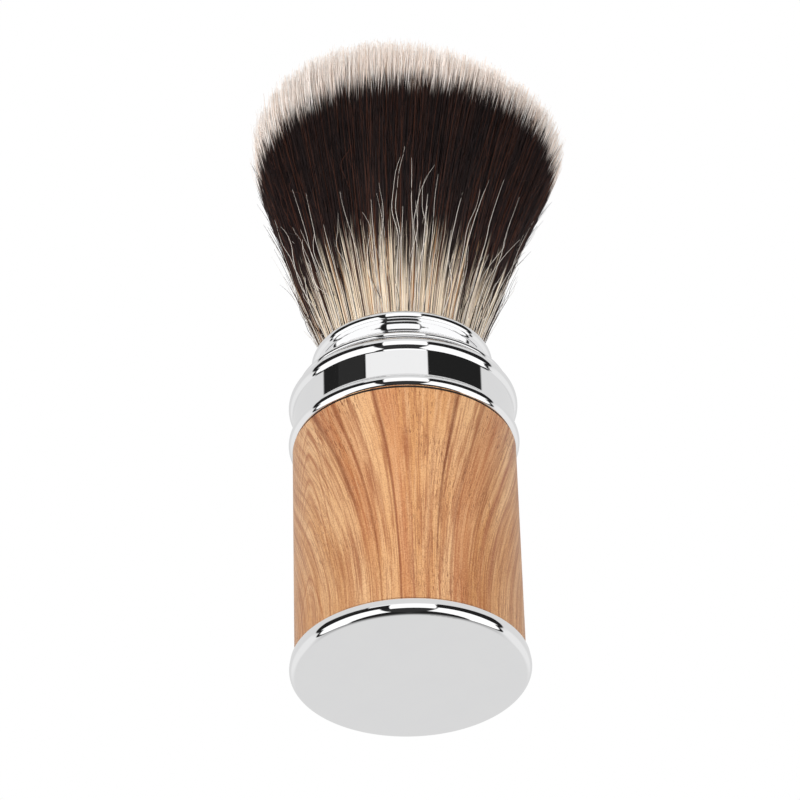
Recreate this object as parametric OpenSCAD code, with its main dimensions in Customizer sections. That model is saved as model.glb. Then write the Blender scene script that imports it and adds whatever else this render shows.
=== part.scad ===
/* [Grip] */
// Outside diameter of the wood-grain sleeve
grip_d = 34.4; // [28:0.2:42]
// Length of the sleeve between its two seals
grip_len = 38; // [34:0.5:60]
// Wall of the sleeve
sleeve_wall = 1.7; // [1.4:0.1:2.4]
// Wall of the moulded liner inside the sleeve
core_wall = 2.2; // [1.6:0.1:2.8]
// Thickness of the liner's top web
core_web = 3; // [2:0.2:4]
// Wall of the liner's inner tube, which holds the ballast down
core_tube_wall = 2.5; // [1.5:0.1:3]

/* [Base cap] */
// How far the cap stands out past the sleeve
cap_lip = 0.8; // [0.4:0.1:2]
// Height of the cap's visible rim
cap_h = 2.5; // [2.2:0.1:5]
// Height of the ring that centres the cap in the liner
cap_spigot_h = 5; // [3.5:0.5:7]
// Outside diameter of the cap's threaded boss
boss_d = 10; // [9:0.5:12]
// Height of the boss above the rim
boss_h = 7; // [6.5:0.5:9]

/* [Seals] */
// Thickness of the two flat seals at the sleeve's ends
seal_t = 0.15; // [0.1:0.05:0.4]
// How far each seal sits back from the sleeve's surface
seal_inset = 0.15; // [0.05:0.05:0.4]
// Thickness of the washer under the head
neck_washer_t = 0.3; // [0.2:0.05:0.5]

/* [Collar] */
// How far the plain band stands out past the sleeve
band_out = -0.1; // [-0.4:0.05:0.5]
// Height of the lower bead
low_bead_h = 2.1; // [1.8:0.1:3]
// Height of the plain band between the beads
band_h = 4.75; // [3.5:0.05:7]
// Height of the upper bead
high_bead_h = 2.35; // [1.6:0.05:2.8]
// How far the lower bead stands out past the band
low_bead_out = 0.7; // [0.3:0.05:0.9]
// How far the upper bead stands out past the band
high_bead_out = 0.65; // [0.3:0.05:0.9]
// Depth of the collar's skirt inside the sleeve
skirt_h = 6.5; // [6:0.5:9]
// Thickness of the collar's floor
collar_floor = 2.5; // [2:0.1:3]
// Wall of the collar's skirt
skirt_wall = 2.6; // [2:0.1:3]

/* [Head] */
// Diameter of the mouth that holds the knot
mouth_d = 24; // [20:0.5:26]
// Wall of the neck at its waist
neck_wall = 1.2; // [0.8:0.1:2]
// Height of the neck from its shoulder to the top of its rim
neck_h = 7.1; // [6.4:0.1:9]
// Height of the small bead at the neck's foot
foot_h = 0.9; // [0.6:0.05:1.2]
// How far the neck's foot stands out from the waist
foot_out = 3.45; // [2.5:0.05:4.2]
// Height of the rim bead
rim_h = 1.75; // [1:0.05:2.2]
// How far the rim bead stands out past the waist
rim_out = 0.95; // [0.5:0.05:1.8]
// Thickness of the cup's floor
cup_floor = 1.5; // [1.2:0.1:2.5]
// How far the head's threaded spigot stands out past the waist
spigot_out = 0.5; // [0.4:0.05:1]
// Length of that spigot
spigot_len = 5; // [4.5:0.1:6]
// Pitch of the head's thread
thread_pitch = 1.5; // [1:0.25:1.5]
// Height of the thread's crests
thread_depth = 0.5; // [0.3:0.05:0.6]

/* [Knot] */
// Height of the hardened plug that the hair is set in
plug_h = 5; // [3.5:0.5:7]
// Thickness of the glue bed under the plug
glue_t = 0.4; // [0.2:0.1:0.8]
// Height of the band tied round the hair's root
binding_h = 2.5; // [1.5:0.1:3]
// Thickness of that band
binding_t = 0.6; // [0.4:0.1:1]
// Largest diameter of the spread hair
fan_d = 49; // [34:0.5:58]
// Height above the mouth at which the hair is widest
fan_h = 42.6; // [34:0.2:50]
// Height of the domed tips above the widest point
dome_h = 6.5; // [3:0.5:14]

/* [Tie rod and ballast] */
// Diameter of the tie rod
rod_d = 6; // [5:0.5:6]
// Pitch of the rod's thread
rod_pitch = 1; // [0.8:0.05:1.25]
// Height of the rod's thread crests
rod_thread = 0.3; // [0.2:0.05:0.4]
// Length of rod that screws into the cap's boss
rod_grip = 6; // [5:0.5:6]
// Width across the flats of the nut
nut_af = 10; // [9:0.5:11]
// Height of the nut
nut_h = 4; // [3:0.1:4.5]
// Outside diameter of the flat and spring washers
washer_d = 12; // [11:0.5:14]
// Thickness of the flat washer
washer_t = 1; // [0.8:0.1:1.6]
// Thickness of the spring washer
spring_washer_t = 1.4; // [1:0.1:1.8]
// Gap where the spring washer is cut
spring_washer_gap = 0.8; // [0.5:0.1:1.2]
// Height of the ballast
ballast_h = 10; // [6:0.5:12]
// Thickness of the pad that holds the ballast still
pad_t = 2; // [1:0.5:3]
// Diameter of the pins that stop the collar turning
key_d = 2; // [1.5:0.5:3]
// Length of those pins
key_len = 4; // [3:0.5:5]

/* [Fits] */
// Clearance on radius where one piece slides into another
slip = 0.05; // [0.03:0.01:0.1]
// Clearance on radius where a piece only has room
room = 0.2; // [0.1:0.05:0.3]
// Clearance between hair and metal
hair_gap = 0.3; // [0.2:0.05:0.5]

/* [Hidden] */
$fn = 96;

// How far a cutting solid runs past what it cuts, and how far joined solids run into each other
cut = 1;
bite = 0.5;

// Finishes
chrome = [0.86, 0.87, 0.88];
seal = [0.1, 0.1, 0.1];
zinc = [0.7, 0.71, 0.72];

// Radii of the sleeve and what fits inside it
grip_r = grip_d / 2;
sleeve_in_r = grip_r - sleeve_wall;
core_r = sleeve_in_r - slip;
core_in_r = core_r - core_wall;
seal_r = grip_r - seal_inset;

// The base cap
cap_r = grip_r + cap_lip;
cap_spigot_r = core_in_r - slip;
cap_spigot_wall = 1.6;
cap_skin = 1.6;
cap_lean = 0.15;
cap_ease = 0.25;
rod_r = rod_d / 2;

// Heights of the grip
base_seal_z = cap_h;
sleeve_z = base_seal_z + seal_t;
sleeve_top = sleeve_z + grip_len;
collar_z = sleeve_top + seal_t;

// The collar
shoulder_h = 0.3;
shoulder_in = 0.5;
band_r = grip_r + band_out;
band_z = collar_z + low_bead_h;
high_bead_z = band_z + band_h;
collar_top = high_bead_z + high_bead_h + shoulder_h;
skirt_z = collar_z - skirt_h;
web_top = skirt_z + collar_floor;
skirt_in_r = core_r - skirt_wall;
thread_room = 1;
thread_z = collar_top - spigot_len - thread_room;
band_stock = 3;
fillet_r = 0.4;

// The head
neck_lean = 10;
washer_top = collar_top + neck_washer_t;
mouth_r = mouth_d / 2;
waist_r = mouth_r + neck_wall;
foot_r = waist_r + foot_out;
rim_r = waist_r + rim_out;
neck_top = washer_top + neck_h;
rim_z = neck_top - rim_h;
spigot_r = waist_r + spigot_out;
thread_root_r = spigot_r - thread_depth;
thread_bore_r = spigot_r + slip;
spigot_z = washer_top - spigot_len;
cup_z = spigot_z + cup_floor;
neck_washer_in_r = thread_bore_r + room;
neck_washer_inset = 0.4;
neck_washer_r = foot_r - neck_washer_inset;

// The knot
plug_z = cup_z + glue_t;
plug_gap = 0.15;
plug_r = mouth_r - plug_gap;
glue_inset = 0.5;
plug_top = plug_z + plug_h;
hair_root_r = plug_r - binding_t;
hair_mouth_r = mouth_r - hair_gap;
fan_r = fan_d / 2;
fan_z = neck_top + fan_h;

// The inside of the handle
boss_top = cap_h + boss_h;
ballast_gap = 0.1;
ballast_z = boss_top + ballast_gap;
pad_z = ballast_z + ballast_h;
ballast_r = core_in_r - room;
core_z = cap_h + seal_t;
core_top = skirt_z - slip;
core_web_z = core_top - core_web;
rod_z = boss_top - rod_grip;
washer_z = web_top;
spring_washer_z = washer_z + washer_t;
nut_z = spring_washer_z + spring_washer_t;
rod_end = 0.6;
rod_top = nut_z + nut_h + rod_end;
rod_hole_r = rod_r + room;
key_shift = 2;
key_gap = 0.1;
key_ring_r = (core_in_r + rod_r) / 2 + key_shift;

// A ring of rectangular section
module ring(r_out, r_in, h) {
    difference() {
        cylinder(r = r_out, h = h);
        translate([0, 0, -cut]) cylinder(r = r_in, h = h + 2 * cut);
    }
}

// Profile of a plain cylinder with crests at every pitch, in the plane that rotate_extrude turns
module threaded_profile(r, depth, pitch, h) {
    first = 0.3 * pitch;
    last = h - 0.8 * pitch;
    flat_top = 0.4 * (pitch - depth);
    flank = 0.8 * depth;
    sink = 0.1;
    root = r - depth;
    square([root, h]);
    for (z = [first : pitch : last])
        translate([0, z])
            polygon([
                [root - sink, -depth * sink],
                [root, 0],
                [r, depth],
                [r, depth + flat_top],
                [root, depth + flat_top + flank],
                [root - sink, depth + flat_top + flank + depth * sink]
            ]);
}

// Half section of the cap's outside: round below, then leaning in a little up to an eased top edge
module cap_outline() {
    nose = cap_h / 2;
    square([cap_r - nose, cap_h]);
    translate([cap_r - nose, nose]) circle(r = nose);
    polygon([
        [cap_r - nose, nose], [cap_r, nose], [cap_r - cap_lean, cap_h - cap_ease],
        [cap_r - cap_lean - cap_ease, cap_h], [cap_r - nose, cap_h]
    ]);
}

// Chrome-plated cap that the brush stands on, with a centring ring and a tapped boss
module base_cap() {
    color(chrome) difference() {
        union() {
            rotate_extrude() cap_outline();
            translate([0, 0, cap_skin]) ring(cap_spigot_r, cap_spigot_r - cap_spigot_wall,
                cap_h - cap_skin + cap_spigot_h);
            cylinder(d = boss_d, h = boss_top);
        }
        // Casting hollow between the ring and the boss
        translate([0, 0, cap_skin]) ring(cap_spigot_r - cap_spigot_wall, boss_d / 2, cap_h);
        translate([0, 0, rod_z]) cylinder(r = rod_r + slip, h = boss_top);
    }
}

// Thin dark seal under the sleeve
module base_seal() {
    color(seal) translate([0, 0, base_seal_z])
        ring(seal_r, core_r + slip, seal_t);
}

// Steel ring that gives the handle its weight
module ballast() {
    chamfer = 0.6;
    color([0.45, 0.46, 0.48]) translate([0, 0, ballast_z]) rotate_extrude()
        polygon([
            [rod_hole_r + chamfer, 0], [ballast_r - chamfer, 0], [ballast_r, chamfer],
            [ballast_r, ballast_h - chamfer], [ballast_r - chamfer, ballast_h],
            [rod_hole_r + chamfer, ballast_h], [rod_hole_r, ballast_h - chamfer],
            [rod_hole_r, chamfer]
        ]);
}

// Foam ring that keeps the ballast from rattling
module ballast_pad() {
    inset = 1;
    color([0.2, 0.2, 0.22]) translate([0, 0, pad_z])
        ring(ballast_r - inset, rod_hole_r + inset, pad_t);
}

// Moulded liner: a tube, a web that the collar clamps down on and an inner tube that holds the ballast
module grip_core() {
    tube_z = pad_z + pad_t;
    color([0.16, 0.16, 0.17]) difference() {
        union() {
            translate([0, 0, core_z]) ring(core_r, core_in_r, core_top - core_z);
            translate([0, 0, core_web_z]) cylinder(r = core_in_r + bite, h = core_web);
            translate([0, 0, tube_z]) cylinder(r = rod_hole_r + core_tube_wall, h = core_top - tube_z);
        }
        translate([0, 0, tube_z - cut]) cylinder(r = rod_hole_r, h = core_top - tube_z + 2 * cut);
        key_places() translate([0, 0, core_top - key_len / 2])
            cylinder(d = key_d + 2 * slip, h = key_len);
    }
}

// The wood-grain sleeve that is seen
module grip_sleeve() {
    ease = 0.25;
    color([0.74, 0.5, 0.3]) translate([0, 0, sleeve_z]) rotate_extrude()
        polygon([
            [sleeve_in_r, 0], [grip_r - ease, 0], [grip_r, ease],
            [grip_r, grip_len - ease], [grip_r - ease, grip_len], [sleeve_in_r, grip_len]
        ]);
}

// Rod that draws the cap and the collar together, threaded at both ends
module tie_rod() {
    top_thread = rod_top - washer_z;
    color([0.62, 0.63, 0.65]) union() {
        translate([0, 0, rod_z]) rotate_extrude()
            threaded_profile(rod_r, rod_thread, rod_pitch, rod_grip);
        translate([0, 0, rod_z + rod_grip - bite])
            cylinder(r = rod_r, h = washer_z - rod_z - rod_grip + 2 * bite);
        translate([0, 0, washer_z]) rotate_extrude()
            threaded_profile(rod_r, rod_thread, rod_pitch, top_thread);
    }
}

// Thin dark seal between the sleeve and the collar
module collar_seal() {
    color(seal) translate([0, 0, sleeve_top])
        ring(seal_r, core_r + slip, seal_t);
}

// Half section of a bead that stands out of the band
module bead_outline(out, h, z) {
    nose = h / 2;
    translate([band_r + out - nose, z + nose]) circle(r = nose);
    translate([band_r - band_stock, z]) square([band_stock + out - nose, h]);
}

// Hollow fillet where a bead meets the band, above (side 1) or below (side -1) the bead
module bead_fillet(out, h, z, side) {
    nose = h / 2;
    centre_x = band_r + fillet_r;
    bead_x = band_r + out - nose;
    reach = nose + fillet_r;
    rise = sqrt(reach * reach - pow(centre_x - bead_x, 2));
    difference() {
        polygon([
            [band_r - fillet_r, z + nose], [bead_x, z + nose], [centre_x, z + nose + side * rise],
            [band_r - fillet_r, z + nose + side * rise]
        ]);
        translate([centre_x, z + nose + side * rise]) circle(r = fillet_r);
    }
}

// Collar with two beads and a plain band, its skirt inside the sleeve and a tapped bore
module collar() {
    color(chrome) difference() {
        union() {
            rotate_extrude() {
                bead_outline(low_bead_out, low_bead_h, collar_z);
                bead_fillet(low_bead_out, low_bead_h, collar_z, 1);
                translate([band_r - band_stock, band_z - bite])
                    square([band_stock, band_h + 2 * bite]);
                bead_outline(high_bead_out, high_bead_h, high_bead_z);
                bead_fillet(high_bead_out, high_bead_h, high_bead_z, -1);
                translate([band_r - band_stock, collar_top - shoulder_h - bite])
                    square([band_stock - shoulder_in, shoulder_h + bite]);
            }
            translate([0, 0, collar_z])
                cylinder(r = band_r - band_stock + bite, h = collar_top - collar_z);
            translate([0, 0, skirt_z]) cylinder(r = core_r, h = skirt_h + bite);
        }
        translate([0, 0, web_top]) cylinder(r = skirt_in_r, h = thread_z - web_top + bite);
        translate([0, 0, thread_z]) cylinder(r = thread_bore_r, h = collar_top - thread_z + cut);
        translate([0, 0, skirt_z - cut]) cylinder(r = rod_hole_r, h = collar_floor + 2 * cut);
        key_places() translate([0, 0, skirt_z - cut])
            cylinder(d = key_d + 2 * slip, h = cut + key_len / 2);
    }
}

// Places of the two pins, either side of the rod
module key_places() {
    for (side = [-1, 1])
        translate([side * key_ring_r, 0, 0]) children();
}

// Pins half in the liner and half in the collar's floor
module collar_keys() {
    color(zinc) key_places()
        translate([0, 0, skirt_z - key_len / 2 + key_gap])
            cylinder(d = key_d, h = key_len - 2 * key_gap);
}

// Flat washer on the collar's floor
module rod_washer() {
    color(zinc) translate([0, 0, washer_z])
        ring(washer_d / 2, rod_hole_r, washer_t);
}

// Split spring washer under the nut
module spring_washer() {
    inset = 0.5;
    color([0.55, 0.56, 0.58]) translate([0, 0, spring_washer_z]) difference() {
        ring(washer_d / 2 - inset, rod_hole_r, spring_washer_t);
        translate([0, -spring_washer_gap / 2, -cut])
            cube([washer_d, spring_washer_gap, spring_washer_t + 2 * cut]);
    }
}

// Hexagon nut that clamps the handle together
module rod_nut() {
    flats_to_corners = 1 / cos(30);
    color([0.74, 0.74, 0.72]) translate([0, 0, nut_z]) difference() {
        cylinder(d = nut_af * flats_to_corners, h = nut_h, $fn = 6);
        translate([0, 0, -cut]) cylinder(r = rod_r + slip, h = nut_h + 2 * cut);
    }
}

// Fibre washer that the head closes down on
module neck_washer() {
    color([0.12, 0.12, 0.12]) translate([0, 0, collar_top])
        ring(neck_washer_r, neck_washer_in_r, neck_washer_t);
}

// Half section of the neck's outside: a foot bead, a hollow curve up to the waist and a rim bead
module neck_outline() {
    foot_nose = foot_h / 2;
    rim_nose = rim_h / 2;
    foot_top = washer_top + foot_h;
    reach = foot_out - foot_nose;
    cove_h = rim_z - foot_top;
    cove_r = (reach * reach + cove_h * cove_h) / (2 * (reach * cos(neck_lean) - cove_h * sin(neck_lean)));
    translate([0, washer_top]) square([foot_r - foot_nose, foot_h]);
    translate([foot_r - foot_nose, washer_top + foot_nose]) circle(r = foot_nose);
    difference() {
        translate([0, foot_top - bite]) square([waist_r + reach, cove_h + bite]);
        translate([waist_r + cove_r * cos(neck_lean), rim_z + cove_r * sin(neck_lean)])
            circle(r = cove_r);
    }
    translate([0, washer_top]) square([waist_r, neck_h]);
    translate([0, rim_z]) square([rim_r - rim_nose, rim_h]);
    translate([rim_r - rim_nose, rim_z + rim_nose]) circle(r = rim_nose);
}

// Chrome neck that holds the knot in a cup and screws into the collar
module neck_ferrule() {
    mouth_ease = 0.3;
    run_out = 0.8;
    color(chrome) difference() {
        union() {
            rotate_extrude() neck_outline();
            translate([0, 0, washer_top - run_out])
                cylinder(r = thread_root_r, h = run_out + foot_h / 2);
            translate([0, 0, spigot_z]) rotate_extrude()
                threaded_profile(spigot_r, thread_depth, thread_pitch, spigot_len);
        }
        translate([0, 0, cup_z]) cylinder(r = mouth_r, h = neck_top);
        translate([0, 0, neck_top - mouth_ease])
            cylinder(r1 = mouth_r, r2 = mouth_r + 2 * mouth_ease, h = 2 * mouth_ease);
    }
}

// Bed of glue between the cup's floor and the plug
module knot_glue() {
    color([0.8, 0.72, 0.5]) translate([0, 0, cup_z])
        cylinder(r = plug_r - glue_inset, h = glue_t);
}

// Hardened plug that the hair's roots are set in
module knot_plug() {
    color([0.85, 0.78, 0.6]) translate([0, 0, plug_z]) cylinder(r = plug_r, h = plug_h);
}

// Band tied round the hair just above the plug
module knot_binding() {
    color([0.9, 0.88, 0.82]) translate([0, 0, plug_top])
        ring(plug_r, hair_root_r, binding_h);
}

// Radius of the hair at a share t of the way from the mouth to its widest point
flare_bend = 1.4;
function flare(t) = hair_mouth_r + (fan_r - hair_mouth_r) * sin(90 * pow(t, flare_bend));

// Round knot of hair: straight in the cup, then spreading to a domed head
module knot_hair() {
    steps = 14;
    root = hair_root_r - slip;
    side = [for (i = [0 : steps]) [flare(i / steps), neck_top + fan_h * i / steps]];
    dome = [for (i = [1 : steps - 1]) let (a = 90 * i / steps) [fan_r * cos(a), fan_z + dome_h * sin(a)]];
    color([0.3, 0.22, 0.18]) rotate_extrude()
        polygon(concat(
            [[0, plug_top], [root, plug_top], [root, plug_top + binding_h + hair_gap]],
            side, dome, [[0, fan_z + dome_h]]
        ));
}

base_cap();
base_seal();
ballast();
ballast_pad();
grip_core();
grip_sleeve();
tie_rod();
collar_seal();
collar();
collar_keys();
rod_washer();
spring_washer();
rod_nut();
neck_washer();
neck_ferrule();
knot_glue();
knot_plug();
knot_binding();
knot_hair();
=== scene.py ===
import math

import bpy
import numpy as np
from mathutils import Matrix, Vector


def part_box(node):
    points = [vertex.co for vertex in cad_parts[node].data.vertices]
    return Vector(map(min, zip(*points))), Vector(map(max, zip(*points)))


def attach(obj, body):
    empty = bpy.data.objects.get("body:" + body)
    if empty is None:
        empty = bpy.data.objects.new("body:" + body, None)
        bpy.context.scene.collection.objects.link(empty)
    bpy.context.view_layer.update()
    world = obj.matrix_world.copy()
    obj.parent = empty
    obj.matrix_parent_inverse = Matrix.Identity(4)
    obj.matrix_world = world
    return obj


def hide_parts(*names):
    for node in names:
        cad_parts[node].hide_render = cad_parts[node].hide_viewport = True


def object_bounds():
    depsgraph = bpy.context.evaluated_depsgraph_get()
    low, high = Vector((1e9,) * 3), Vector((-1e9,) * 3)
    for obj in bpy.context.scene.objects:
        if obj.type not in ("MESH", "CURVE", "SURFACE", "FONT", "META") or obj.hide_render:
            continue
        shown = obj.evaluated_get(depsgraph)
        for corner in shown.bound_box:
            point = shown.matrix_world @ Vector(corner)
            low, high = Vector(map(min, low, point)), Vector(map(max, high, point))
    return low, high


# A barber's fade brush: a chrome base cap, a wood-grain grip, a chrome collar and neck, and a
# round knot of hair with a pale root, a dark band and pale tips. Lengths are in metres, heights
# run up +Z and azimuths are measured from the front (-Y), positive towards +X.

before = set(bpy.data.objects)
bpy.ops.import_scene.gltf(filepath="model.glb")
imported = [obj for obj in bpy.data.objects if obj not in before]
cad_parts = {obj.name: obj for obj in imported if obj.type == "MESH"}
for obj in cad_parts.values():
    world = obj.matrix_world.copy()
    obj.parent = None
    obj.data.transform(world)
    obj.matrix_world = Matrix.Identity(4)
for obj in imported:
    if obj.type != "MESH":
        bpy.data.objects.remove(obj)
cad_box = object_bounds()

MM = 0.001
SEED = 11


# ---------------------------------------------------------------- arithmetic with shader nodes

class Value:
    """A number or vector from a shader node, with arithmetic that adds Math nodes."""

    def __init__(self, tree, socket):
        self.tree = tree
        self.socket = socket

    def math(self, operation, *others):
        node = self.tree.nodes.new("ShaderNodeMath")
        node.operation = operation
        for socket, value in zip(node.inputs, (self, *others)):
            feed(self.tree, socket, value)
        return Value(self.tree, node.outputs[0])

    def __add__(self, other):
        return self.math("ADD", other)

    def __radd__(self, other):
        return self.math("ADD", other)

    def __sub__(self, other):
        return self.math("SUBTRACT", other)

    def __rsub__(self, other):
        return (self * -1).math("ADD", other)

    def __mul__(self, other):
        return self.math("MULTIPLY", other)

    def __rmul__(self, other):
        return self.math("MULTIPLY", other)

    def __truediv__(self, other):
        return self.math("DIVIDE", other)

    def __neg__(self):
        return self * -1

    def power(self, other):
        return self.math("POWER", other)

    def abs(self):
        return self.math("ABSOLUTE")

    def floor(self):
        return self.math("FLOOR")

    def sin(self):
        return self.math("SINE")

    def cos(self):
        return self.math("COSINE")

    def max(self, other):
        return self.math("MAXIMUM", other)

    def over(self, low, high):
        """0 up to low, 1 from high, and smooth in between."""
        node = self.tree.nodes.new("ShaderNodeMapRange")
        node.interpolation_type = "SMOOTHSTEP"
        feed(self.tree, node.inputs["Value"], self)
        feed(self.tree, node.inputs["From Min"], low)
        feed(self.tree, node.inputs["From Max"], high)
        return Value(self.tree, node.outputs["Result"])

    def under(self, low, high):
        return 1 - self.over(low, high)

    def within(self, low, high, soft):
        """1 between low and high, with edges of width soft."""
        return self.over(low - soft / 2, low + soft / 2) * self.under(high - soft / 2, high + soft / 2)

    def line(self, place, width):
        """A soft line of this width where the value is at place."""
        return (self - place).abs().under(width * 0.2, width)


def feed(tree, socket, value):
    if isinstance(value, Value):
        tree.links.new(value.socket, socket)
    else:
        socket.default_value = value


def combine(tree, x, y, z):
    node = tree.nodes.new("ShaderNodeCombineXYZ")
    for socket, value in zip(node.inputs, (x, y, z)):
        feed(tree, socket, value)
    return Value(tree, node.outputs[0])


def separate(tree, vector):
    node = tree.nodes.new("ShaderNodeSeparateXYZ")
    feed(tree, node.inputs[0], vector)
    return [Value(tree, out) for out in node.outputs]


def coordinates(tree, kind):
    node = tree.nodes.new("ShaderNodeTexCoord")
    return Value(tree, node.outputs[kind])


def noise(tree, vector, scale, detail=3.0, rough=0.5):
    node = tree.nodes.new("ShaderNodeTexNoise")
    feed(tree, node.inputs["Vector"], vector)
    node.inputs["Scale"].default_value = scale
    node.inputs["Detail"].default_value = detail
    node.inputs["Roughness"].default_value = rough
    return Value(tree, node.outputs["Fac"])


def random_of(tree, number, salt):
    """A random number from 0 to 1 for each whole number."""
    node = tree.nodes.new("ShaderNodeTexWhiteNoise")
    node.noise_dimensions = "2D"
    feed(tree, node.inputs["Vector"], combine(tree, number, salt, 0.0))
    return Value(tree, node.outputs["Value"])


def mix(tree, share, a, b):
    """Colour a where share is 0 and colour b where it is 1."""
    node = tree.nodes.new("ShaderNodeMix")
    node.data_type = "RGBA"
    feed(tree, node.inputs["Factor"], share)
    feed(tree, node.inputs["A"], a)
    feed(tree, node.inputs["B"], b)
    return Value(tree, node.outputs["Result"])


def srgb(code):
    """Linear colour of a six-digit web colour."""
    channels = [int(code[i:i + 2], 16) / 255 for i in (0, 2, 4)]
    linear = [c / 12.92 if c <= 0.04045 else ((c + 0.055) / 1.055) ** 2.4 for c in channels]
    return (*linear, 1.0)


def new_material(name):
    """A material with one Principled shader, its node tree and that shader."""
    material = bpy.data.materials.new(name)
    material.use_nodes = True
    tree = material.node_tree
    shader = next(n for n in tree.nodes if n.type == "BSDF_PRINCIPLED")
    return material, tree, shader


def bump(tree, shader, height, distance, strength=1.0):
    node = tree.nodes.new("ShaderNodeBump")
    node.inputs["Distance"].default_value = distance
    node.inputs["Strength"].default_value = strength
    feed(tree, node.inputs["Height"], height)
    tree.links.new(node.outputs["Normal"], shader.inputs["Normal"])


def azimuth_of(x, y):
    """Angle in degrees round +Z from the front, positive towards +X."""
    return x.math("ARCTAN2", -y) * math.degrees(1)


# ---------------------------------------------------------------- the studio

def softboxes(azimuth, elevation):
    """Brightness that polished metal sees: pale walls, dark cards and bright softboxes, in degrees."""
    wall, front_wall, side_wall, bright = 0.74, 0.93, 0.86, 1.15
    card, left_card, front_pit, pit = 0.016, 0.0272, 0.035, 0.05
    level = elevation * 0 + wall
    sides = azimuth.abs()

    def paint(mask, tone):
        return level + (tone - level) * mask

    # The room: brighter beside the brush, dark straight below it.
    level = paint(sides.over(88, 100) * sides.under(140, 160) * elevation.within(-48, 4, 20), side_wall)
    level = paint(elevation.under(-76, -38), pit)

    # Dark cards up to this elevation, each with a softbox in it that widens downwards.
    card_top = 40
    box_edge = 84 + (-20 - elevation).max(0)
    level = paint((sides - box_edge).under(5, 8) * elevation.under(card_top - 2, card_top + 2), card)
    level = paint(azimuth.within(-70, -40, 2) * elevation.within(20, card_top - 2, 3), left_card)
    level = paint(elevation.within(-100, -26, 2) * sides.under(20, 34), front_pit)
    side_box = (sides - box_edge).under(-2, 2) * sides.over(24, 27) * elevation.within(-64, -8, 3)
    level = paint(side_box, bright)

    # The gap between the cards in front, and the softbox in the gap.
    gap = azimuth.within(-38, 27, 1.5) * elevation.over(29, 31)
    level = paint(gap, front_wall)
    level = paint(elevation.over(card_top - 2, card_top + 2), wall)
    centre_box = azimuth.within(-17, 24, 1.5) * elevation.within(-24, 31, 3)
    return paint(centre_box, bright)


def make_world():
    """White to the camera, an even soft light, and softboxes in reflections."""
    world = bpy.data.worlds.new("studio")
    bpy.context.scene.world = world
    world.use_nodes = True
    tree = world.node_tree
    tree.nodes.clear()
    x, y, z = separate(tree, coordinates(tree, "Generated"))
    elevation = z.math("ARCSINE") * math.degrees(1)
    seen = softboxes(azimuth_of(x, y), elevation)
    path = tree.nodes.new("ShaderNodeLightPath")
    glossy = Value(tree, path.outputs["Is Glossy Ray"])
    camera = Value(tree, path.outputs["Is Camera Ray"])
    fill = 0.42
    strength = fill + (seen - fill) * glossy
    strength = strength + (1 - strength) * camera
    background = tree.nodes.new("ShaderNodeBackground")
    background.inputs["Color"].default_value = (1, 1, 1, 1)
    feed(tree, background.inputs["Strength"], strength)
    output = tree.nodes.new("ShaderNodeOutputWorld")
    tree.links.new(background.outputs[0], output.inputs["Surface"])


def make_floor():
    """A large pale floor just under the brush, see-through from below, that fades into the white."""
    below = -0.3 * MM
    bpy.ops.mesh.primitive_circle_add(vertices=128, radius=4, fill_type="NGON", location=(0, 0, below))
    floor = bpy.context.object
    floor.name = "floor"
    floor.visible_glossy = False
    material = bpy.data.materials.new("floor")
    material.use_nodes = True
    tree = material.node_tree
    tree.nodes.clear()
    pale = tree.nodes.new("ShaderNodeBsdfDiffuse")
    pale.inputs["Color"].default_value = (0.9, 0.9, 0.9, 1)
    clear = tree.nodes.new("ShaderNodeBsdfTransparent")
    sides = tree.nodes.new("ShaderNodeNewGeometry")
    switch = tree.nodes.new("ShaderNodeMixShader")
    output = tree.nodes.new("ShaderNodeOutputMaterial")
    glow = tree.nodes.new("ShaderNodeEmission")
    path = tree.nodes.new("ShaderNodeLightPath")
    lit = tree.nodes.new("ShaderNodeAddShader")
    x, y, _ = separate(tree, coordinates(tree, "Object"))
    far = (x * x + y * y).power(0.5).over(0.12, 0.9)
    near_lift, far_lift = 0.34, 0.32
    camera = Value(tree, path.outputs["Is Camera Ray"])
    feed(tree, glow.inputs["Strength"], camera * (near_lift + far * far_lift))
    tree.links.new(pale.outputs[0], lit.inputs[0])
    tree.links.new(glow.outputs[0], lit.inputs[1])
    tree.links.new(sides.outputs["Backfacing"], switch.inputs[0])
    tree.links.new(lit.outputs[0], switch.inputs[1])
    tree.links.new(clear.outputs[0], switch.inputs[2])
    tree.links.new(switch.outputs[0], output.inputs["Surface"])
    floor.data.materials.append(material)


def aim(obj, target):
    obj.rotation_mode = "QUATERNION"
    obj.rotation_quaternion = (target - obj.location).to_track_quat("-Z", "Y")


def make_lamp(name, azimuth, elevation, distance, size, watts):
    """A square softbox lamp that points at the middle of the brush."""
    data = bpy.data.lights.new(name, "AREA")
    data.size = size
    data.energy = watts
    lamp = bpy.data.objects.new(name, data)
    bpy.context.scene.collection.objects.link(lamp)
    a, e = math.radians(azimuth), math.radians(elevation)
    middle = (cad_box[0] + cad_box[1]) / 2
    lamp.location = middle + distance * Vector(
        (math.sin(a) * math.cos(e), -math.cos(a) * math.cos(e), math.sin(e)))
    aim(lamp, middle)
    lamp.visible_glossy = False
    lamp.visible_camera = False


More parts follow.
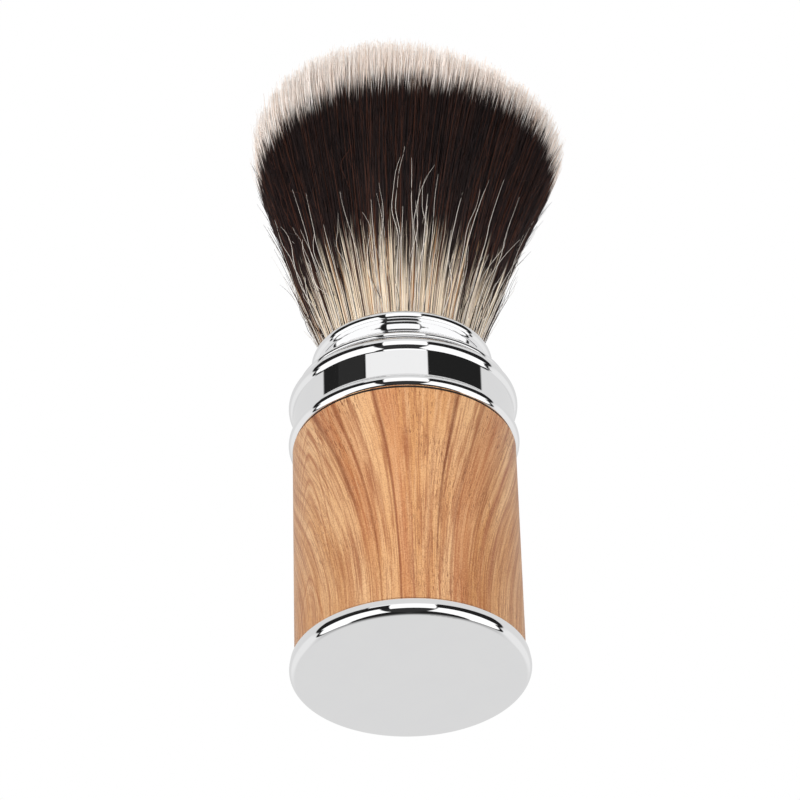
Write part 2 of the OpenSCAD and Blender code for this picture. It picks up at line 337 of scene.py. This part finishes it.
def make_camera():
    """A long lens that looks up at the brush from in front and below its base."""
    distance, below, roll = 599.2 * MM, math.radians(35.91), math.radians(-1.626)
    target = (cad_box[0] + cad_box[1]) / 2 + Vector((-0.447, 0, -2.835)) * MM
    forward = Vector((0, math.cos(below), math.sin(below)))
    flat_right = Vector((1, 0, 0))
    flat_up = Vector((0, -math.sin(below), math.cos(below)))
    right = flat_right * math.cos(roll) + flat_up * math.sin(roll)
    up = flat_up * math.cos(roll) - flat_right * math.sin(roll)
    data = bpy.data.cameras.new("camera")
    data.lens = 173.4
    data.sensor_width = 36
    data.clip_start = 0.01
    data.clip_end = 50
    camera = bpy.data.objects.new("camera", data)
    bpy.context.scene.collection.objects.link(camera)
    turn = Matrix((right, up, -forward)).transposed().to_4x4()
    camera.matrix_world = Matrix.Translation(target - distance * forward) @ turn
    bpy.context.scene.camera = camera


# ---------------------------------------------------------------- materials

def chrome_material():
    """Polished plating with faint polishing haze and hairline scratches."""
    material, tree, shader = new_material("chrome")
    place = coordinates(tree, "Object")
    haze = noise(tree, place, 160, detail=4)
    x, y, z = separate(tree, place)
    scratches = noise(tree, combine(tree, x * 300, y * 300, z * 9000), 1, detail=2).over(0.62, 0.8)
    shader.inputs["Metallic"].default_value = 1
    tone = mix(tree, haze, srgb("F4F4F5"), srgb("F8F8F8"))
    feed(tree, shader.inputs["Base Color"], tone)
    feed(tree, shader.inputs["Roughness"], 0.025 + haze.over(0.45, 0.7) * 0.02 + scratches * 0.02)
    return material


def metal_material(name, colour, roughness, grain):
    """Machined or plated steel with a fine turned grain."""
    material, tree, shader = new_material(name)
    place = coordinates(tree, "Object")
    x, y, z = separate(tree, place)
    turned = noise(tree, combine(tree, x * 200, y * 200, z * grain), 1, detail=3)
    shader.inputs["Metallic"].default_value = 1
    shade = mix(tree, turned, colour, tuple(c * 0.75 for c in colour[:3]) + (1.0,))
    feed(tree, shader.inputs["Base Color"], shade)
    feed(tree, shader.inputs["Roughness"], roughness + (turned - 0.5) * 0.2)
    bump(tree, shader, turned, 0.01 * MM)
    return material


def dull_material(name, colour, roughness, scale, depth=0.02):
    """Rubber, foam, resin or moulded plastic with a fine uneven skin."""
    material, tree, shader = new_material(name)
    skin = noise(tree, coordinates(tree, "Object"), scale, detail=5)
    shade = mix(tree, skin, colour, tuple(c * 0.6 for c in colour[:3]) + (1.0,))
    feed(tree, shader.inputs["Base Color"], shade)
    feed(tree, shader.inputs["Roughness"], roughness + (skin - 0.5) * 0.2)
    bump(tree, shader, skin, depth * MM)
    return material


def thread_material():
    """Twisted binding thread, with painted shade in the grooves between its turns."""
    material, tree, shader = new_material("thread")
    x, y, z = separate(tree, coordinates(tree, "Object"))
    turns = ((z / (0.35 * MM)) * (2 * math.pi) + azimuth_of(x, y) * math.radians(1)).sin()
    # Painted shade: the colour is darker where the bump is low, in the grooves between the turns, and paler
    # on the ridges.
    shade = mix(tree, turns * 0.5 + 0.5, srgb("A99C86"), srgb("E6DECB"))
    feed(tree, shader.inputs["Base Color"], shade)
    shader.inputs["Roughness"].default_value = 0.8
    bump(tree, shader, turns, 0.08 * MM)
    return material


def wood_material():
    """Wood print on the sleeve: grain that fans out upwards, arches on the left, dark lines and pores."""
    material, tree, shader = new_material("wood_grain")
    low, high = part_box("grip_sleeve")
    x, y, z = separate(tree, coordinates(tree, "Object"))
    height = (z - low.z) / (high.z - low.z)
    azimuth = azimuth_of(x, y)
    waver = noise(tree, combine(tree, x * 40, y * 40, z * 25), 1, detail=2) - 0.5

    # The grain leaves the foot close together and spreads; at the back it runs straight.
    spread = 1 + 1.5 * height.power(2.0)
    behind = azimuth.abs().over(75, 150)
    axis = 5.0
    grain = axis + (azimuth - axis) / (spread + (1 - spread) * behind)
    grain = grain + waver * 3.5
    turn = grain * math.radians(1)

    def grain_noise(lanes, stretch, detail, rough=0.55):
        """Noise drawn out along the grain, with this many lanes round the sleeve."""
        size = lanes / (2 * math.pi)
        place = combine(tree, turn.sin() * size, turn.cos() * size, height * stretch)
        return noise(tree, place, 1, detail=detail, rough=rough)

    broad = grain_noise(26, 0.9, 2)
    medium = grain_noise(90, 1.6, 3, rough=0.6)
    fine = grain_noise(380, 3.0, 4, rough=0.65)
    hair_lines = grain_noise(1000, 5, 2)

    colour = mix(tree, broad.over(0.34, 0.66), srgb("C6905D"), srgb("DBAF81"))
    colour = mix(tree, medium.over(0.48, 0.66) * 0.5, colour, srgb("9A5A34"))
    colour = mix(tree, medium.under(0.28, 0.44) * 0.35, colour, srgb("DCB288"))
    colour = mix(tree, fine.over(0.5, 0.6) * 0.5, colour, srgb("874A2A"))
    colour = mix(tree, fine.under(0.36, 0.46) * 0.4, colour, srgb("DCB288"))
    colour = mix(tree, hair_lines.over(0.52, 0.62) * 0.42, colour, srgb("8E5230"))

    def streak(place, width, shade, amount, low=-0.2, high=1.2):
        """A soft line along the grain between two heights, broken up by the fine grain."""
        nonlocal colour
        mask = grain.line(place, width) * height.within(low, high, 0.3)
        broken = 0.6 + 0.4 * fine.over(0.35, 0.6)
        colour = mix(tree, mask * broken * amount, colour, srgb(shade))

    # Nested arches on the left, and again at the back.
    for middle, share in ((-58.0, 1.0), (150.0, 0.8)):
        across = ((azimuth - middle) / 9).abs()
        arch = height + across.power(1.6) * 0.15 + waver * 0.16
        rings = noise(tree, combine(tree, arch * 24, middle, 0.0), 1, detail=2)
        inside = (azimuth - middle).abs().under(14, 26)
        colour = mix(tree, inside * rings.over(0.48, 0.68) * (0.6 * share), colour, srgb("97552F"))
        colour = mix(tree, inside * rings.under(0.3, 0.46) * (0.45 * share), colour, srgb("DCB48C"))

    streak(-15.0, 6.0, "A0552C", 0.6, low=0.25)
    streak(-18.5, 1.0, "743818", 0.7, low=0.45)
    streak(-13.0, 0.8, "7A4020", 0.6)
    streak(-3.2, 0.8, "6E361B", 0.9)
    streak(-0.8, 4.0, "B5724A", 0.55)
    streak(3.0, 1.0, "96573A", 0.45)
    streak(10.5, 0.7, "8F5431", 0.45)
    streak(14.5, 0.7, "6E361B", 0.85, low=0.2)
    streak(21.5, 0.8, "7A3E20", 0.75)
    streak(26.0, 6.5, "AC683C", 0.6)
    streak(31.0, 1.0, "8F5130", 0.5)
    streak(36.5, 1.6, "98573A", 0.5)
    streak(43.0, 1.2, "94553A", 0.45)
    streak(60.0, 2.4, "9A5E38", 0.5)
    streak(95.0, 3.0, "945431", 0.5)
    streak(125.0, 2.0, "945431", 0.5)
    streak(-95.0, 3.0, "945431", 0.5)
    streak(-130.0, 2.4, "945431", 0.5)

    # Short pores along the grain, and the fine dots of the print.
    size = 1500 / (2 * math.pi)
    pores = noise(tree, combine(tree, turn.sin() * size, turn.cos() * size, height * 30), 1, detail=1)
    where = noise(tree, combine(tree, x * 160, y * 160, z * 90), 1, detail=1).over(0.42, 0.62)
    colour = mix(tree, pores.over(0.6, 0.68) * where * 0.8, colour, srgb("6E3A20"))
    print_dots = noise(tree, combine(tree, x, y, z), 5200, detail=1)
    colour = mix(tree, print_dots.over(0.5, 0.66) * 0.32, colour, srgb("8A5433"))
    colour = mix(tree, print_dots.under(0.28, 0.5) * 0.14, colour, srgb("E6C097"))
    feed(tree, shader.inputs["Base Color"], colour)
    feed(tree, shader.inputs["Roughness"], 0.42 + (fine - 0.5) * 0.15)
    shader.inputs["Specular IOR Level"].default_value = 0.35
    bump(tree, shader, fine * 0.6 + pores.under(0.66, 0.8) * 0.4, 0.015 * MM)
    return material


# ---------------------------------------------------------------- hair

SIDES_IN_PIECE = 1900
TIPS_IN_PIECE = 4200
STRAYS = 150
WISPS = 420
CLUMP = 7

# Each strand takes its colours from one of the map's columns; the last two groups are for strays.
COLUMNS = 256
PALE_STRAYS = (240, 248)
DARK_STRAYS = (248, 256)
STRAND_MAP = "strand"
BAKE_MAP = "OFBake"


class Knot:
    """Places and outline of the hair, from the neck and the hair solid it replaces."""

    def __init__(self):
        neck_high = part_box("neck_ferrule")[1]
        low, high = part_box("knot_hair")
        self.mouth_z = neck_high.z
        self.mouth_r = 11.7 * MM
        self.top_z = high.z
        self.dome_h = 6.5 * MM
        self.wide_z = self.top_z - self.dome_h
        self.wide_r = (high.x - low.x) / 2
        self.root_z = self.mouth_z - 2.5 * MM

    def radius(self, z):
        """Outline radius at a height: flared like the solid, fuller low down and slimmer above the middle."""
        share = np.clip((z - self.mouth_z) / (self.wide_z - self.mouth_z), 0, 1)
        flare = self.mouth_r + (self.wide_r - self.mouth_r) * np.sin(np.pi / 2 * share ** 1.4)
        full = np.clip(1 - ((share - 0.22) / 0.2) ** 2, 0, 1)
        slim = np.clip(1 - ((share - 0.68) / 0.3) ** 2, 0, 1)
        return flare * (1 + 0.03 * full - 0.05 * slim)

    def lean(self, z):
        """Sideways shift towards +X that grows up to the head of the knot."""
        return 2.1 * MM * np.clip((z - self.mouth_z) / (43 * MM), 0, 1) ** 2

    def tip_z(self, share):
        """Height of the domed head at a share of the widest radius."""
        return self.wide_z + self.dome_h * np.sqrt(np.clip(1 - share ** 2, 0, 1))

    def tilt(self, azimuth, share):
        """The cut of the head is a little higher to the left of the front than to its right."""
        slope = 0.05 * self.wide_r * np.sin(azimuth) + 1.2 * MM * np.sin(2 * azimuth - 0.35)
        return 0.3 * MM - share * slope

    def level(self, z):
        """Height as a share of the visible hair, for the colour bands."""
        return (z - self.mouth_z) / (self.top_z - self.mouth_z)


def hair_colour(tree, column, level, knot):
    """Colour along a strand: pale root, dark band and pale tip, with jagged limits that differ by strand."""
    length = (knot.top_z - knot.mouth_z) / MM
    first, second = 10.2 / length, 37.9 / length
    lot = random_of(tree, column, 1.0)
    kind = random_of(tree, column, 2.0)
    shade = random_of(tree, column, 3.0)
    after_plain = column.over(PALE_STRAYS[0] - 1, PALE_STRAYS[0])
    pale_stray = after_plain * column.under(DARK_STRAYS[0] - 1, DARK_STRAYS[0])
    dark_stray = column.over(DARK_STRAYS[0] - 1, DARK_STRAYS[0])

    cream = mix(tree, shade, srgb("F2DDBF"), srgb("FFF4E2"))
    cream = mix(tree, kind.over(0.66, 0.74), cream, srgb("D9C8B6"))
    cream = mix(tree, kind.over(0.83, 0.87), cream, srgb("A89385"))
    cream = mix(tree, kind.over(0.90, 0.92), cream, srgb("B98A60"))
    cream = mix(tree, kind.over(0.96, 0.97), cream, srgb("6B5047"))
    cream = mix(tree, pale_stray, cream, srgb("E4DCD3"))
    dark = mix(tree, shade, srgb("150F11"), srgb("2B1C1A"))
    dark = mix(tree, kind.over(0.80, 0.90), dark, srgb("4A2A1E"))
    pale = mix(tree, shade, srgb("FBEBE0"), srgb("FFFCF8"))
    pale = mix(tree, kind.over(0.86, 0.92), pale, srgb("E8D3C2"))

    low_limit = first + (lot - 0.5) * 0.2 - dark_stray * 0.30 + pale_stray * 0.6
    to_dark = (level - low_limit).over(-0.05, 0.07)
    colour = mix(tree, to_dark, cream, dark)
    high_limit = second + (random_of(tree, column, 4.0) - 0.5) * 0.075
    to_pale = (level - high_limit).over(-0.02, 0.03)
    return mix(tree, to_pale, colour, pale)


def hair_material(knot):
    material, tree, shader = new_material("hair")
    node = tree.nodes.new("ShaderNodeUVMap")
    node.uv_map = STRAND_MAP
    u, v, _ = separate(tree, Value(tree, node.outputs[0]))
    column = (u * COLUMNS).floor()
    colour = hair_colour(tree, column, v, knot)
    mottle = noise(tree, combine(tree, column * 3.1, v * 30, 0.0), 1, detail=2)
    colour = mix(tree, mottle.over(0.45, 0.8) * 0.1, colour, srgb("6B5448"))
    feed(tree, shader.inputs["Base Color"], colour)
    feed(tree, shader.inputs["Roughness"], 0.5 + (mottle - 0.5) * 0.2)
    shader.inputs["Specular IOR Level"].default_value = 0.35
    return material


def core_material(knot):
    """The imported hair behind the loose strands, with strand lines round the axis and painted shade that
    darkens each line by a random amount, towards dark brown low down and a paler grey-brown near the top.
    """
    material, tree, shader = new_material("hair_core")
    x, y, z = separate(tree, coordinates(tree, "Object"))
    azimuth = azimuth_of(x, y)
    column = ((azimuth + 180) * (900 / 360)).floor()
    level = (z - knot.mouth_z) / (knot.top_z - knot.mouth_z)
    colour = hair_colour(tree, column.math("MODULO", 239.0), level, knot)
    # Painted shade: every strand line is darkened by a random amount for the shade between packed strands,
    # dark brown low down and paler grey-brown near the top.
    shadow = random_of(tree, column, 5.0)
    shade = mix(tree, level.over(0.8, 0.9), srgb("2A1C18"), srgb("B5A294"))
    colour = mix(tree, 0.12 + shadow * 0.3, colour, shade)
    feed(tree, shader.inputs["Base Color"], colour)
    shader.inputs["Roughness"].default_value = 0.8
    bump(tree, shader, shadow, 0.15 * MM)
    return material


def tube_mesh(name, paths, radii, columns, knot):
    """One closed three-sided tube along each path. Paths are strands x rings x 3."""
    count, rings, _ = paths.shape
    along = np.gradient(paths, axis=1)
    along /= np.linalg.norm(along, axis=2, keepdims=True)
    outward = paths * (1, 1, 0) + 1e-9
    outward /= np.linalg.norm(outward, axis=2, keepdims=True)
    sideways = np.cross(along, outward)
    sideways /= np.linalg.norm(sideways, axis=2, keepdims=True)
    outward = np.cross(sideways, along)
    corners = []
    for angle in np.radians((90, 210, 330)):
        offset = np.cos(angle) * sideways + np.sin(angle) * outward
        corners.append(paths + offset * radii[:, :, None])
    points = np.stack(corners, 2).reshape(-1, 3)

    def index(strand, ring, corner):
        return (strand * rings + ring) * 3 + corner

    strand, ring, corner = np.meshgrid(np.arange(count), np.arange(rings - 1), np.arange(3), indexing="ij")
    following = (corner + 1) % 3
    quads = np.stack([
        index(strand, ring, corner), index(strand, ring, following),
        index(strand, ring + 1, following), index(strand, ring + 1, corner)], -1).reshape(-1, 4)
    each = np.arange(count)
    roots = np.stack([index(each, 0, 2), index(each, 0, 1), index(each, 0, 0)], -1)
    tips = np.stack([index(each, rings - 1, c) for c in range(3)], -1)
    mesh = bpy.data.meshes.new(name)
    mesh.from_pydata(points.tolist(), [], quads.tolist() + roots.tolist() + tips.tolist())
    mesh.polygons.foreach_set("use_smooth", np.ones(len(mesh.polygons), bool))

    level = np.clip(knot.level(paths[:, :, 2]), 0.002, 0.998)
    left = (columns + 0.2) / COLUMNS
    step = 0.2 / COLUMNS
    corner_u = left[strand] + step * corner
    quad_uv = np.stack([
        np.stack([corner_u, level[strand, ring]], -1),
        np.stack([corner_u + step, level[strand, ring]], -1),
        np.stack([corner_u + step, level[strand, ring + 1]], -1),
        np.stack([corner_u, level[strand, ring + 1]], -1)], -2).reshape(-1, 2)
    cap_u = left[:, None] + step * np.arange(3)
    root_uv = np.stack([cap_u[:, ::-1], np.repeat(level[:, :1], 3, 1)], -1).reshape(-1, 2)
    tip_uv = np.stack([cap_u, np.repeat(level[:, -1:], 3, 1)], -1).reshape(-1, 2)
    flat = np.concatenate([quad_uv, root_uv, tip_uv]).astype(np.float32).ravel()
    for layer in (STRAND_MAP, BAKE_MAP):
        mesh.uv_layers.new(name=layer).data.foreach_set("uv", flat)
    mesh.update()
    obj = bpy.data.objects.new(name, mesh)
    bpy.context.scene.collection.objects.link(obj)
    return obj


def finish_hair(obj, material):
    obj.data.materials.append(material)
    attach(obj, "head")
    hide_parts("knot_hair")


def waves(rng, along, size, count):
    """Gentle sideways waves that grow towards the tip."""
    turns = rng.uniform(0.6, 2.2, (count, 1))
    phase = rng.uniform(0, 2 * np.pi, (count, 1))
    ripple = 0.22 * np.sin(2 * np.pi * 2.3 * turns * along + 2.3 * phase)
    return size * along * (np.sin(2 * np.pi * turns * along + phase) + ripple)


def strand_paths(rng, knot, azimuth, share, start, stop, rings, wave, splay):
    """Paths that follow the flare at a share of its radius, from height start to height stop."""
    count = len(azimuth)
    along = np.linspace(0, 1, rings)[None, :]
    z = start[:, None] + (stop - start)[:, None] * along
    radius = share[:, None] * knot.radius(z) + splay[:, None] * along ** 3
    size = rng.normal(0, 1, (count, 1)) * wave
    turn = azimuth[:, None] + waves(rng, along, size, count) / np.maximum(radius, 4 * MM)
    radius = radius + waves(rng, along, np.abs(size) * 0.5, count)
    return np.stack([radius * np.sin(turn) + knot.lean(z), -radius * np.cos(turn), z], -1)


def taper(base, rings, count, rng, tip=0.3):
    along = np.linspace(0, 1, rings)[None, :]
    return base * rng.uniform(0.75, 1.25, (count, 1)) * (1 - (1 - tip) * along ** 3)


def side_strands(rng, knot, count, material, name):
    """Long strands of the outside, gathered in small clumps that close up at the tip."""
    clump_of = rng.integers(0, count // CLUMP, count)
    clump_azimuth = rng.uniform(-np.pi, np.pi, count // CLUMP)
    pull = rng.uniform(0.15, 0.6, count)
    own = clump_azimuth[clump_of] + rng.normal(0, 0.045, count)
    share = 1 - np.abs(rng.normal(0, 0.035, count))
    start = np.full(count, knot.root_z)
    stop = knot.tip_z(share * 0.97) - np.abs(rng.normal(0, 1.3 * MM, count)) + knot.tilt(own, share)
    splay = rng.normal(0.4 * MM, 0.45 * MM, count)
    rings = 12
    paths = strand_paths(rng, knot, own, share, start, stop, rings, 0.34 * MM, splay)
    middles = strand_paths(
        np.random.default_rng(SEED + 5), knot, clump_azimuth[clump_of], share, start, stop, rings, 0.0, splay)
    along = (np.linspace(0, 1, rings) ** 2)[None, :, None]
    paths = paths + (middles - paths) * along * pull[:, None, None]
    columns = rng.integers(0, PALE_STRAYS[0], count)
    # More strands take the dark colours towards the left and right sides, as seen from the front, than at the
    # front and back.
    edge = np.abs(np.sin(own)) ** 3
    darker = rng.random(count) < 0.03 + 0.4 * edge
    columns = np.where(darker, rng.integers(*DARK_STRAYS, count), columns)
    hair = tube_mesh(name, paths, taper(0.075 * MM, rings, count, rng), columns, knot)
    finish_hair(hair, material)


def tip_strands(rng, knot, count, material, name):
    """Short ends of the inner strands that make the domed head."""
    share = np.sqrt(rng.uniform(0, 0.95, count))
    azimuth = rng.uniform(-np.pi, np.pi, count)
    stop = knot.tip_z(share) + rng.normal(-0.1 * MM, 0.6 * MM, count) + knot.tilt(azimuth, share)
    start = stop - rng.uniform(8, 11, count) * MM
    rings = 5
    splay = rng.normal(0.3 * MM, 0.4 * MM, count)
    paths = strand_paths(rng, knot, azimuth, share, start, stop, rings, 0.3 * MM, splay)
    columns = rng.integers(0, PALE_STRAYS[0], count)
    hair = tube_mesh(name, paths, taper(0.085 * MM, rings, count, rng, tip=0.35), columns, knot)
    finish_hair(hair, material)


def stray_strands(rng, knot, count, material):
    """Loose wavy hairs that lie over the rest."""
    azimuth = rng.uniform(-np.pi, np.pi, count)
    share = rng.uniform(1.0, 1.02, count)
    start = np.full(count, knot.root_z)
    stop = knot.mouth_z + rng.uniform(11, 27, count) * MM
    rings = 26
    splay = np.abs(rng.normal(0, 1.0 * MM, count))
    paths = strand_paths(rng, knot, azimuth, share, start, stop, rings, 0.75 * MM, splay)
    is_pale = rng.random(count) < 0.7
    columns = np.where(is_pale, rng.integers(*PALE_STRAYS, count), rng.integers(*DARK_STRAYS, count))
    hair = tube_mesh("hair_strays", paths, taper(0.06 * MM, rings, count, rng), columns, knot)
    finish_hair(hair, material)


def edge_wisps(rng, knot, count, material):
    """Wavy ends that stand a little out of the side of the knot."""
    azimuth = rng.uniform(-np.pi, np.pi, count)
    share = np.full(count, 0.99)
    start = knot.mouth_z + rng.uniform(8, 20, count) * MM
    stop = knot.wide_z - rng.uniform(2, 16, count) * MM
    rings = 20
    splay = rng.uniform(0.4, 1.9, count) * MM
    paths = strand_paths(rng, knot, azimuth, share, start, stop, rings, 0.45 * MM, splay)
    columns = rng.integers(0, PALE_STRAYS[0], count)
    hair = tube_mesh("hair_wisps", paths, taper(0.06 * MM, rings, count, rng), columns, knot)
    finish_hair(hair, material)


def hair_core(knot, material):
    """Closed body of packed hair a little inside the strands."""
    inset, sides, steps = 0.955, 192, 26
    heights = np.linspace(knot.root_z, knot.wide_z - 1.5 * MM, steps)
    profile = [(inset * float(knot.radius(z)), float(z)) for z in heights]
    for step in range(1, 10):
        angle = math.radians(step * 10)
        profile.append((inset * knot.wide_r * math.cos(angle),
                        float(heights[-1]) + (knot.dome_h - 1 * MM) * math.sin(angle)))
    profile = profile[:-1]
    points = []
    for radius, z in profile:
        for side in range(sides):
            turn = 2 * math.pi * side / sides
            points.append((radius * math.sin(turn) + float(knot.lean(z)), -radius * math.cos(turn), z))
    faces = []
    for ring in range(len(profile) - 1):
        for side in range(sides):
            a, b = ring * sides + side, ring * sides + (side + 1) % sides
            faces.append((a, b, b + sides, a + sides))
    faces.append(tuple(reversed(range(sides))))
    faces.append(tuple((len(profile) - 1) * sides + side for side in range(sides)))
    mesh = bpy.data.meshes.new("hair_core")
    mesh.from_pydata(points, [], faces)
    mesh.polygons.foreach_set("use_smooth", np.ones(len(mesh.polygons), bool))
    core = bpy.data.objects.new("hair_core", mesh)
    bpy.context.scene.collection.objects.link(core)
    finish_hair(core, material)


def make_hair():
    knot = Knot()
    rng = np.random.default_rng(SEED)
    material = hair_material(knot)
    hair_core(knot, core_material(knot))
    for part in range(3):
        side_strands(rng, knot, SIDES_IN_PIECE, material, f"hair_side_{part}")
    for part in range(3):
        tip_strands(rng, knot, TIPS_IN_PIECE, material, f"hair_tips_{part}")
    stray_strands(rng, knot, STRAYS, material)
    edge_wisps(rng, knot, WISPS, material)


# ---------------------------------------------------------------- putting it together

def dress_metal_and_wood():
    """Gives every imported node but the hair, which the strands replace, its material."""
    chrome = chrome_material()
    steel = metal_material("rod_steel", srgb("C4C6C8"), 0.3, 4000)
    seal = dull_material("seal", srgb("1D1B1B"), 0.6, 900)
    finishes = {
        "base_cap": chrome,
        "collar": chrome,
        "neck_ferrule": chrome,
        "grip_sleeve": wood_material(),
        "base_seal": seal,
        "collar_seal": seal,
        "neck_washer": seal,
        "ballast": metal_material("ballast_steel", srgb("9A9C9F"), 0.4, 6000),
        "ballast_pad": dull_material("foam", srgb("55565A"), 0.9, 1500, 0.2),
        "grip_core": dull_material("liner_plastic", srgb("3A3A3C"), 0.5, 300),
        "tie_rod": steel,
        "collar_keys": steel,
        "rod_washer": steel,
        "rod_nut": steel,
        "spring_washer": metal_material("spring_steel", srgb("8C8E92"), 0.35, 5000),
        "knot_glue": dull_material("resin", srgb("D8C9A0"), 0.35, 250),
        "knot_plug": dull_material("plug_resin", srgb("DCCFAE"), 0.3, 400),
        "knot_binding": thread_material(),
    }
    for name, finish in finishes.items():
        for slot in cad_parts[name].material_slots:
            slot.material = finish


make_camera()
make_world()
make_floor()
make_lamp("key", -38, 24, 0.9, 0.5, 5.8)
make_lamp("fill", 42, 12, 0.9, 0.5, 3.9)
dress_metal_and_wood()
make_hair()

bpy.context.scene.view_settings.view_transform = "Standard"
